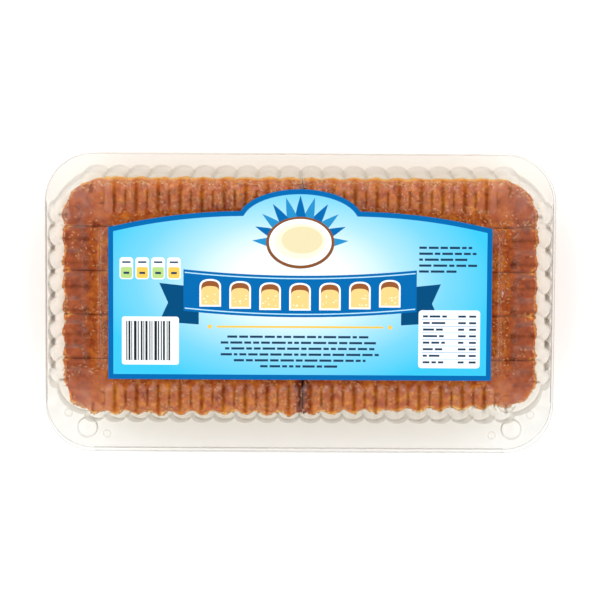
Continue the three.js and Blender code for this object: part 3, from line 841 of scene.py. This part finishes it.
CRUMBS_PER_SQUARE_MM = 0.35
CRUMB_BAND = 7 * MM
CRUMB_RADIUS = 0.55 * MM
SMALLEST_CRUMB = 0.4
LARGEST_CRUMB = 1.3
CRUMB_PATCH = 5 * MM
# Loose crumb: soft, dull and paler than the crust, with pores about 0.6 mm across.
crumb_sponge = toasted_food("loose_sponge_crumb", 0.6, (
    (0.0, "#f4e4c6"), (0.35, "#e4c190"), (0.65, "#cb955a"), (1.0, "#b0723a")), 0.9, 1.4, 0.05)

lump = bmesh.new()
bmesh.ops.create_icosphere(lump, subdivisions=1, radius=CRUMB_RADIUS)
for vert in lump.verts:
    vert.co = vert.co * (1 + 0.35 * noise.noise(vert.co / (0.4 * MM)))
crumb = new_object("crumb", bpy.data.meshes.new("crumb"))
lump.to_mesh(crumb.data)
lump.free()
edges = bmesh.new()
for piece in slices:
    edges.from_mesh(piece.data)
cake_low = Vector(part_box("slice_left_1")[0])
cake_high = Vector(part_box("slice_right_5")[1])
inner = []
for face in edges.faces:
    middle = face.calc_center_median()
    from_front = middle.y - cake_low.y
    outside = abs(face.normal.z) < 0.75 and (
        abs(face.normal.x) > 0.6 and abs(middle.x) > 90 * MM
        or abs(face.normal.y) > 0.5 and not 22 * MM < from_front < 90 * MM)
    if not outside or cake_high.z - middle.z > CRUMB_BAND:
        inner.append(face)
bmesh.ops.delete(edges, geom=inner, context="FACES")
crumbs = new_object("loose_crumbs", bpy.data.meshes.new("loose_crumbs"))
edges.to_mesh(crumbs.data)
edges.free()
crumbs.data = apply_tree(crumbs, (scatter, {
    "Shred": crumb, "Per Square Metre": CRUMBS_PER_SQUARE_MM / MM ** 2, "Shortest": SMALLEST_CRUMB,
    "Longest": LARGEST_CRUMB, "Patch Size": CRUMB_PATCH, "Seed": SHRED_SEED + 2, "Finish": crumb_sponge,
}))
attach(crumbs, "root")
discard(crumb)


# The lid: a deep cover of the same clear PET. Its flutes run up the walls, over a round shoulder and on
# as fingers across the top, round a raised flat panel that carries the label. Two hollow buttons in the
# wide front flange snap over the tray's studs.

LID_FOOT = 19.9 * MM
LAND_HEIGHT = 49.6 * MM
CREST_HEIGHT = 51.3 * MM
SHOULDER_RADIUS = 5 * MM
FINGER_REACH = 22.2 * MM
END_FINGER_REACH = 13 * MM
FINGER_TIP = 4 * MM
FINGER_ROUND = 3 * MM
SHORTEST_FINGER = 0.6 * MM
SHORTEST_CREST = 0.2 * MM
CORNER_SAG = 0.9
FINGER_CREST = 0.95
FINGER_START = 0.3
GROOVE_FROM = 0.85
CREST_WIDTH = 0.26
SHOULDER_RING = 13
FINGER_RING = 14
TIP_RING = 18
LAST_RING = 21
FOOT_RINGS = 4
FOOT_SHADE_RINGS = 8
FOOT_SHADE = 0.7
SHORT_SIDE_CREASE_SHADE = 0.6
TIP_WIDTH = 0.55
TIP_SIDES = 0.35
END_FILM_AND_SHEEN = 0.35
GROOVE_HIGHLIGHT = 1.0
PANEL_EDGE_HIGHLIGHT = 3.0
HIGHLIGHTED_PANEL_RING = 4
PANEL_HALF_LENGTH = 91.6 * MM
PANEL_HALF_DEPTH = 34.5 * MM
PANEL_CORNER = 7 * MM
LID_FLANGE_MIDDLE = (-0.35 * MM, 0.75 * MM)
LID_FLANGE_HALF_LENGTH = 118.65 * MM
LID_FLANGE_HALF_DEPTH = 69.25 * MM
PIP_PLACES = [(108.4 * MM, -51.8 * MM), (90.4 * MM, -61.6 * MM)]
LUG_PLACES = [(-103.6 * MM, 43.2 * MM), (94.8 * MM, -42.5 * MM)]
LUG_FOOT = LAND_HEIGHT - 0.5 * MM


def lid_section(wall_rise, top_rise, reach):
    """From the flange up the wall and over the shoulder, then along a finger to its rounded end."""
    groove = FLUTE_DEPTH * (1 - wall_rise)
    crest = CREST_HEIGHT - LAND_HEIGHT
    top = LAND_HEIGHT + crest * top_rise
    bend_start = LAND_HEIGHT + crest * wall_rise - SHOULDER_RADIUS
    points = []
    for sin, cos in quarter_turn(3):
        points.append((groove - FOOT_FILLET * (1 - sin), LID_FOOT + FOOT_FILLET * (1 - cos)))
    lean_in = WALL_LEAN * (bend_start - LID_FOOT)
    points.append((groove + lean_in / 2, (bend_start + LID_FOOT) / 2))
    for sin, cos in quarter_turn(8):
        points.append((groove + lean_in + SHOULDER_RADIUS * (1 - cos),
                       bend_start + (top - bend_start) * sin))
    if reach:
        shoulder_end = points[-1][0]
        end = max(reach - FINGER_ROUND * (1 - top_rise), shoulder_end + SHORTEST_FINGER)
        tip_start = max(end - FINGER_TIP * reach / FINGER_REACH, shoulder_end + SHORTEST_CREST)
        for share in (FINGER_START, 0.5):
            points.append((shoulder_end + (tip_start - shoulder_end) * share, top))
        for step in range(7):
            share = step / 6
            points.append((tip_start + (end - tip_start) * share,
                           LAND_HEIGHT + crest * top_rise * (1 + math.cos(math.pi * share)) / 2))
    return points


def finger(across):
    """The rise of a finger across its width, with a narrow flat groove on each side."""
    return max(bow(across / FINGER_CREST), 0.0)


def finger_crease_shade(across, ring):
    """Painted shade along a finger's crest and in its grooves, where the sheet bends light away, from the
    end of the shoulder to its tip.
    """
    line = max(1 - across / CREST_WIDTH, (across - GROOVE_FROM) / (1 - GROOVE_FROM), 0.0)
    return line * smooth_step(SHOULDER_RING, FINGER_RING, ring) * smooth_step(LAST_RING, TIP_RING, ring)


def foot_crease_shade(across, ring):
    """Painted shade on the wider flutes of the short sides: fainter lines along their fingers, dark tips,
    and a darker foot.
    """
    if 0 < ring < FOOT_SHADE_RINGS:
        return max(FOOT_SHADE if ring < FOOT_RINGS else 0.0, smooth_step(0.6, 0.9, across))
    tip = 0.0
    if TIP_RING <= ring <= LAST_RING:
        tip = max(1 - across / TIP_WIDTH, TIP_SIDES * smooth_step(1.0, 0.8, across))
    return max(SHORT_SIDE_CREASE_SHADE * finger_crease_shade(across, ring), tip)


def lid_flute(reach, crease):
    return wall_patch("lid_flute", flute_across,
                      lambda u: lid_section(half_round(u), finger(u), reach), crease)


def lid_corner(rise):
    return wall_patch("lid_corner", corner_across,
                      lambda u: lid_section(rise * bow(u), -CORNER_SAG * bow(u), 0.0))


lid_flutes = [lid_flute(FINGER_REACH, foot_crease_shade), lid_flute(FINGER_REACH, finger_crease_shade),
              lid_flute(END_FINGER_REACH, finger_crease_shade)]
lid_corners = [lid_corner(BACK_CORNER_RISE), lid_corner(FRONT_CORNER_RISE)]
sheet = fluted_wall(*lid_flutes, *lid_corners)
haze = sheet.verts.layers.float.new("haze")
land_rim = open_rim(sheet, LAND_HEIGHT, near=2 * MM)
button_profile = ((5.25, 0), (5.0, 0.08), (4.9, 0.35), (4.82, 1.95), (4.6, 2.25), (4.2, 2.4), (0, 2.42))
pip_profile = ((2.2, 0), (2.0, 0.1), (1.8, 0.55), (1.4, 0.78), (0, 0.85))
lug_profile = ((4.3, 0), (4.15, 0.1), (3.95, 0.8), (3.6, 1.0), (0, 1.05))
holes = [open_rim(sheet, LID_FOOT)]
for side in (-1, 1):
    holes.append(add_cap(sheet, (side * BUTTON_X, BUTTON_Y), LID_FOOT, button_profile))
    for x, y in PIP_PLACES:
        holes.append(add_cap(sheet, (side * x, y), LID_FOOT, pip_profile, sides=20))
lid_edge = add_trimmed_edge(sheet, LID_FOOT, LID_FLANGE_HALF_LENGTH, LID_FLANGE_HALF_DEPTH,
                            LID_FLANGE_MIDDLE)
fill_flat(sheet, lid_edge, holes)
panel_rings = []
for inset_mm, rise_mm in ((-0.3, 0), (0.05, 0.12), (0.25, 0.5), (0.6, 1.6), (0.8, 2.0), (1.15, 2.2)):
    inset_by = inset_mm * MM
    radii = [PANEL_CORNER - inset_by] * 4
    loop = rounded_rect(PANEL_HALF_LENGTH - inset_by, PANEL_HALF_DEPTH - inset_by, radii, 10, (0.0, BODY_Y))
    panel_rings.append([sheet.verts.new((x, y, LAND_HEIGHT + rise_mm * MM)) for x, y in loop])
for lower, upper in zip(panel_rings, panel_rings[1:]):
    join_rings(sheet, lower, upper)
# Two low round lugs, in opposite corners, keep stacked lids from sticking together.
lugs = [add_cap(sheet, place, LUG_FOOT, lug_profile) for place in LUG_PLACES]
fill_flat(sheet, land_rim, [places(panel_rings[0]), *lugs])
fill_flat(sheet, places(panel_rings[-1]))
# The lid lies on the cake at its two ends and its corners. There it carries a pale veil, a thin misty layer
# with painted sheen, and painted highlight lines along the end grooves.
for vert in sheet.verts:
    near_top = smooth_step(46 * MM, 49 * MM, vert.co.z)
    groove = smooth_step(0.75, 1.0, math.cos(2 * math.pi * (vert.co.y - BODY_Y) / SHORT_SIDE_PITCH))
    end = (END_FILM_AND_SHEEN + GROOVE_HIGHLIGHT * groove) * under_end(vert.co)
    vert[haze] = max(end, under_corner(vert.co)) * near_top
# The step of the panel gets a painted highlight line.
for vert in panel_rings[HIGHLIGHTED_PANEL_RING]:
    vert[haze] = PANEL_EDGE_HIGHLIGHT
lid = close_sheet(sheet, "clear_lid", top_faces_up=True)
discard(*lid_flutes, *lid_corners, outline)
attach(lid, "root")
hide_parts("lid")


# The label: a sheet of coated paper with an arched back edge, printed in flat inks and stuck to the
# lid's panel.

LABEL_TOP = 52.05 * MM
LABEL_SHEET = 0.14 * MM
LABEL_HALF_LENGTH = 87.2
LABEL_FRONT = -36.7
LABEL_BACK_CORNER = 32.6
LABEL_SHOULDER = (58, 39.8)
ARCH_HALF_LENGTH = 28.4
ARCH_RISE = 14.3
ARCH_BASE = 36
ARCH_START = math.radians(17.4)
LABEL_BORDER = 2.3
FIBRE_MM = 0.5
DEEP_BLUE = "#015f9f"
LEAF_BLUE = "#2383b8"
WHITE = "#e6eaec"
CREAM = "#eee6c8"
GOLD = "#e3b94a"
SHELL_BROWN = "#7b4b2a"
RULE_INK = "#1d3a54"
STRIPE_INK = "#a9d4e8"
RIBBON_FOLD = "#014470"
CRUST_INK = "#8a4f2a"
CRUMB_INK = "#e2c27c"
MILK_INK = "#d8cda6"
GREEN_INK = "#a9c77a"
AMBER_INK = "#e6bb52"
BAR_INK = "#20242a"


def sweep_to(start, through, end, steps=14):
    """Points along a smooth curve from start to end that bends towards a third point."""
    points = []
    for step in range(1, steps + 1):
        t = step / steps
        points.append(tuple(
            (1 - t) ** 2 * a + 2 * t * (1 - t) * b + t * t * c for a, b, c in zip(start, through, end)))
    return points


def oval(middle, half_length, half_depth, steps=48):
    turns = [2 * math.pi * k / steps for k in range(steps)]
    return [(middle[0] + half_length * math.cos(a), middle[1] + half_depth * math.sin(a)) for a in turns]


def bar(left, front, right, back, radius=0.0):
    if radius == 0:
        return [(left, front), (right, front), (right, back), (left, back)]
    middle = ((left + right) / 2, (front + back) / 2)
    return rounded_rect((right - left) / 2, (back - front) / 2, [radius] * 4, 6, middle)


def leaf(root, angle, length, half_width):
    """A pointed leaf that grows from its root."""
    edge = []
    for share in np.linspace(0, 1, 13):
        edge.append((length * share, half_width * math.sin(math.pi * share ** 0.8)))
    loop = edge + [(x, -y) for x, y in edge[-2:0:-1]]
    cos, sin = math.cos(angle), math.sin(angle)
    return [(root[0] + x * cos - y * sin, root[1] + x * sin + y * cos) for x, y in loop]


def cake_slice(middle, half_width, height):
    """A slice seen from its cut face, with a domed top."""
    x, y = middle
    loop = [(x - half_width, y), (x + half_width, y), (x + half_width, y + 0.72 * height)]
    loop += sweep_to(loop[-1], (x + half_width, y + height), (x, y + height), 6)
    loop += sweep_to(loop[-1], (x - half_width, y + height), (x - half_width, y + 0.72 * height), 6)
    return loop


def inset_loop(loop, distance):
    """A loop that lies inside another at an even distance."""
    inner = []
    count = len(loop)
    for k, here in enumerate(loop):
        before = Vector(loop[k - 1])
        after = Vector(loop[(k + 1) % count])
        first = (Vector(here) - before).normalized()
        second = (after - Vector(here)).normalized()
        normal = Vector((-first.y - second.y, first.x + second.x)).normalized()
        spread = max(normal.dot(Vector((-first.y, first.x))), 0.5)
        inner.append(tuple(Vector(here) + normal * distance / spread))
    return inner


arch_end = (ARCH_HALF_LENGTH * math.cos(ARCH_START), ARCH_BASE + ARCH_RISE * math.sin(ARCH_START))
label_edge = [(-LABEL_HALF_LENGTH, LABEL_FRONT), (LABEL_HALF_LENGTH, LABEL_FRONT)]
label_edge.append((LABEL_HALF_LENGTH, LABEL_BACK_CORNER))
label_edge += sweep_to(label_edge[-1], LABEL_SHOULDER, arch_end)
for step in range(1, 41):
    angle = ARCH_START + (math.pi - 2 * ARCH_START) * step / 40
    label_edge.append((ARCH_HALF_LENGTH * math.cos(angle), ARCH_BASE + ARCH_RISE * math.sin(angle)))
label_edge += sweep_to(label_edge[-1], (-LABEL_SHOULDER[0], LABEL_SHOULDER[1]),
                       (-LABEL_HALF_LENGTH, LABEL_BACK_CORNER))

prints = []


def lay(loop, ink=None):
    """Prints a shape over the ones before it. A shape with no ink of its own is the shaded sky."""
    prints.append((loop, ink))


lay(label_edge, DEEP_BLUE)
lay(inset_loop(label_edge, LABEL_BORDER))
for number in range(11):
    angle = math.radians(90 + 17 * (number - 5))
    ink = (LEAF_BLUE, DEEP_BLUE)[number % 2]
    lay(leaf((0, 25), angle, 22.5 - 0.02 * abs(number - 5) ** 2, 2.6), ink)
lay(oval((0, 26), 15.5, 11.8), SHELL_BROWN)
lay(oval((0, 26.2), 14.2, 10.6), WHITE)
lay(oval((0, 26.6), 11.6, 8.2), CREAM)
lay(oval((0.8, 27.2), 9.4, 6.2), MILK_INK)


def ribbon_band(half_length, front, back):
    """A band along the ribbon, which curves up towards its ends."""
    along = np.linspace(-half_length, half_length, 41)
    return [on_ribbon(x, front) for x in along] + [on_ribbon(x, back) for x in along[::-1]]


def on_ribbon(x, y):
    return (x, y + 3.2 * (x / 58) ** 2)


for side in (-1, 1):
    tail = [(46, -11.5), (64, -10.3), (60, -1.6), (64, 7.4), (46, 5.5)]
    lay([(side * x, y) for x, y in tail], RIBBON_FOLD)
lay(ribbon_band(53, -8, 11), DEEP_BLUE)
for y in (-6.9, 9.4):
    lay(ribbon_band(52.4, y, y + 0.5), STRIPE_INK)
pick = random.Random(4)
for number in range(7):
    x, y = on_ribbon(13.6 * (number - 3), -4.9)
    lay(cake_slice((x, y), 4.9, 12.6), WHITE)
    lay(cake_slice((x, y + 0.8), 4.1, 11.0), CRUST_INK)
    lay(cake_slice((x, y + 0.8), 4.1, 8.6), CRUMB_INK)
    for _ in range(7):
        spot = (x + pick.uniform(-3.2, 3.2), y + pick.uniform(1.6, 6.6))
        lay(oval(spot, pick.uniform(0.25, 0.5), pick.uniform(0.2, 0.35), 8), CREAM)
lay(bar(-38, -12.9, 38, -12.0, 0.45), GOLD)
for x in (-41, 41):
    lay(oval((x, -12.45), 1.0, 1.0, 20), GOLD)

# The code panel, with bars of several widths.
lay(bar(-81, -30, -55, -8, 1.2), WHITE)
bar_x = -79
for width, gap in (
    (0.5, 0.5), (0.9, 0.4), (0.4, 0.8), (1.2, 0.5), (0.5, 0.9), (0.8, 0.4), (0.4, 0.5), (1.0, 0.8),
    (0.5, 0.5), (0.4, 0.9), (1.2, 0.4), (0.6, 0.7), (0.5, 0.5), (0.9, 0.8), (0.4, 0.4), (0.8, 0.6),
):
    lay(bar(bar_x, -28, bar_x + width, -10), BAR_INK)
    bar_x += width + gap


def lay_dashes(left, right, y, height):
    """A line of short dashes, like fine print that is too small to read."""
    x = left
    while x < right - 1:
        end = min(x + pick.uniform(1.6, 6.5), right)
        lay(bar(x, y - height / 2, end, y + height / 2), RULE_INK)
        x = end + 0.9


for row, length in enumerate((66, 72, 68, 72, 60, 36)):
    lay_dashes(-length / 2, length / 2, -17 - 2.7 * row, 1.05)
for row, length in enumerate((24, 27, 22, 27, 17)):
    lay_dashes(54, 54 + length, 24 - 2.7 * row, 1.05)
lay(bar(54, -31, 82, -4.5, 1.5), WHITE)
for row in range(8):
    y = -7.3 - 3.0 * row
    lay_dashes(56, 63 + pick.uniform(0, 4), y, 0.95)
    lay_dashes(72, 75.5, y, 0.95)
    lay_dashes(77, 80.2, y, 0.95)
    if row < 7:
        lay(bar(55.5, y - 1.6, 80.5, y - 1.4), LEAF_BLUE)
for number, ink in enumerate((GREEN_INK, AMBER_INK, GREEN_INK, AMBER_INK)):
    left = -82 + 7.2 * number
    lay(bar(left, 9, left + 6.2, 19, 1.4), WHITE)
    lay(bar(left + 0.5, 9.5, left + 5.7, 14.6, 0.9), ink)
    lay(bar(left + 1.2, 16.4, left + 5, 17.2), RULE_INK)
    lay(bar(left + 1.8, 11.4, left + 4.4, 12.4), RULE_INK)

# The shapes are cut into one flat sheet, and each face takes the ink that was laid on it last.
points = []
areas = []
for loop, ink in prints:
    loop = anticlockwise(loop)
    areas.append(list(range(len(points), len(points) + len(loop))))
    points += [Vector(point) for point in loop]
corners, _, triangles, _, _, origins = geometry.delaunay_2d_cdt(points, [], areas, 1, 1e-5)
label_mesh = bpy.data.meshes.new("printed_label")
label_mesh.from_pydata([(x * MM, y * MM + BODY_Y, LABEL_TOP) for x, y in corners], [], triangles)
inks = []
skies = []
for origin in origins:
    ink = prints[max(origin)][1]
    inks += linear(ink or WHITE)
    skies.append(0.0 if ink else 1.0)
label_mesh.attributes.new("ink", "FLOAT_COLOR", "FACE").data.foreach_set("color", inks)
store(label_mesh, "sky", skies, "FACE")

# Coated label paper: smooth and slightly glossy, with flat solid inks. The sky fades from cyan at the
# edges to almost white in the middle.
coated_paper, tree = new_material("coated_label_paper")
place = add_node(tree, "TexCoord").outputs["Object"]
centred = add_node(tree, "Mapping", {
    "Vector": place, "Location": (0.04, -0.27, 0.0), "Scale": (1 / 0.092, 1 / 0.052, 0.0),
})
fade = add_node(tree, "TexGradient", {"Vector": centred}, gradient_type="SPHERICAL")
sky_ink = add_node(tree, "ValToRGB", {"Fac": fade.outputs["Fac"]}, (
    (0.0, "#36b5dc"), (0.24, "#6cbfdf"), (0.46, "#a0cfe3"), (0.6, "#c5dbe6"), (0.72, "#dce4e9")))
# Paper fibre just under the coat, about half a millimetre long.
fibre = grain(tree, FIBRE_MM, detail=3.0)
ink = add_node(tree, "Attribute", attribute_name="ink").outputs["Color"]
sky = add_node(tree, "Attribute", attribute_name="sky").outputs["Fac"]
printed = add_node(tree, "Mix", {0: sky, 6: ink, 7: sky_ink}, data_type="RGBA").outputs[2]
bump = add_node(tree, "Bump", {"Height": fibre, "Strength": 0.15, "Distance": 0.05 * MM})
surface = add_node(tree, "BsdfPrincipled", {
    "Base Color": printed, "Roughness": add_node(tree, "MapRange", {0: fibre, 3: 0.34, 4: 0.46}),
    "IOR": 1.5, "Specular IOR Level": 0.05, "Normal": bump,
})
add_node(tree, "OutputMaterial", {"Surface": surface})
# The back of the paper is bare, with the same fibre.
bare_paper, tree = new_material("bare_label_paper")
rough = add_node(tree, "MapRange", {0: grain(tree, FIBRE_MM, detail=3.0), 3: 0.7, 4: 0.85})
surface = add_node(tree, "BsdfPrincipled", {
    "Base Color": linear("#e4e2dc"), "Roughness": rough, "IOR": 1.5,
})
add_node(tree, "OutputMaterial", {"Surface": surface})
label_mesh.materials.append(coated_paper)
label_mesh.materials.append(bare_paper)
label = new_object("printed_label", label_mesh)
thicken = label.modifiers.new("thickness", "SOLIDIFY")
thicken.thickness = LABEL_SHEET
thicken.offset = -1
thicken.material_offset = 1
thicken.material_offset_rim = 1
label.data = apply_tree(label)
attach(label, "root")
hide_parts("label")


# The setting: a white table top, lit a little from below, in a light tent with a large soft light on
# each side.

FLOOR_HALF = 4.0
FLOOR_BELOW = -0.2 * MM
TABLE_GLOW = 0.12
# Painted board with a fine 2.5 mm stipple: an even, dull white. The glow from below is a little cool.
table_white, tree = new_material("white_table_top")
rough = add_node(tree, "MapRange", {0: grain(tree, 2.5, detail=2.0), 3: 0.7, 4: 0.8})
surface = add_node(tree, "BsdfPrincipled", {
    "Base Color": linear("#f7f7f6"), "Roughness": rough, "Specular IOR Level": 0.1,
    "Emission Color": linear("#bfe2ff"), "Emission Strength": TABLE_GLOW,
})
add_node(tree, "OutputMaterial", {"Surface": surface})
floor_mesh = bpy.data.meshes.new("table_top")
floor_corners = [(x * FLOOR_HALF, y * FLOOR_HALF, FLOOR_BELOW)
                 for x, y in ((-1, -1), (1, -1), (1, 1), (-1, 1))]
floor_mesh.from_pydata(floor_corners, [], [(0, 1, 2, 3)])
floor_mesh.materials.append(table_white)
floor = new_object("table_top", floor_mesh)

# A white light tent, lit from its left and right sides. A dark flag over the pack keeps the flat plastic
# and the paper free of glare.
FLAG_LEAN = math.radians(5.5)
FLAG_HALF_ANGLE = math.radians(9)
FLAG_BLUR = math.radians(3)
FLAG_SHADE = 0.2
TENT_GLOW = 0.3
SIDE_GLOW = 1.45
world = bpy.data.worlds.new("light_tent")
world.use_nodes = True
tree = world.node_tree
tree.nodes.clear()
way = add_node(tree, "TexCoord").outputs["Generated"]
flag_way = (0.0, -math.sin(FLAG_LEAN), math.cos(FLAG_LEAN))
to_flag = add_node(tree, "VectorMath", {0: way, 1: flag_way}, operation="DOT_PRODUCT").outputs["Value"]
aside = add_node(tree, "SeparateXYZ", {0: way}).outputs["X"]
aside = add_node(tree, "Math", {0: aside}, operation="ABSOLUTE")
glow = add_node(tree, "MapRange", {
    0: aside, 1: 0.15, 2: 0.4, 3: TENT_GLOW, 4: TENT_GLOW + SIDE_GLOW,
}, interpolation_type="SMOOTHSTEP")
flag = add_node(tree, "MapRange", {
    0: to_flag, 1: math.cos(FLAG_HALF_ANGLE + FLAG_BLUR), 2: math.cos(FLAG_HALF_ANGLE),
    3: 1.0, 4: FLAG_SHADE,
})
glow = add_node(tree, "Math", {0: glow, 1: flag}, operation="MULTIPLY")
tent = add_node(tree, "Background", {"Color": linear("#ffffff"), "Strength": glow})
add_node(tree, "OutputWorld", {"Surface": tent})
scene = bpy.context.scene
scene.world = world
for name, place, power in (("soft_left", (-1.5, 0.6, 0.8), 9), ("soft_right", (1.5, 0.6, 0.8), 7)):
    lamp = bpy.data.lights.new(name, "AREA")
    lamp.shape = "SQUARE"
    lamp.size = 1.2
    lamp.energy = power
    light = bpy.data.objects.new(name, lamp)
    light.location = place
    light.rotation_euler = (-Vector(place)).to_track_quat("-Z", "Y").to_euler()
    scene.collection.objects.link(light)

# The camera looks almost straight down, from a little towards the back, at 2.2 pixels a millimetre.
CAMERA_DISTANCE = 1.1
CAMERA_TILT = math.radians(5.5)
CAMERA_ROLL = math.radians(0.3)
PIXELS_PER_MM = 2.2
VIEW_WIDTH = 600 / PIXELS_PER_MM * MM
SENSOR = 36.0
camera_data = bpy.data.cameras.new("camera")
camera_data.sensor_width = SENSOR
camera_data.lens = SENSOR * CAMERA_DISTANCE / VIEW_WIDTH
camera_data.clip_end = 20
camera = bpy.data.objects.new("camera", camera_data)
camera_turn = Matrix.Rotation(-CAMERA_TILT, 4, "X") @ Matrix.Rotation(CAMERA_ROLL, 4, "Z")
aim = Vector((0.0, BODY_Y - 0.1 * MM, 52 * MM))
camera.matrix_world = Matrix.Translation(aim + camera_turn @ Vector((0, 0, CAMERA_DISTANCE))) @ camera_turn
scene.collection.objects.link(camera)
scene.camera = camera
scene.view_settings.view_transform = "Standard"
# A ray may pass through many layers of clear sheet.
scene.cycles.transparent_max_bounces = 32
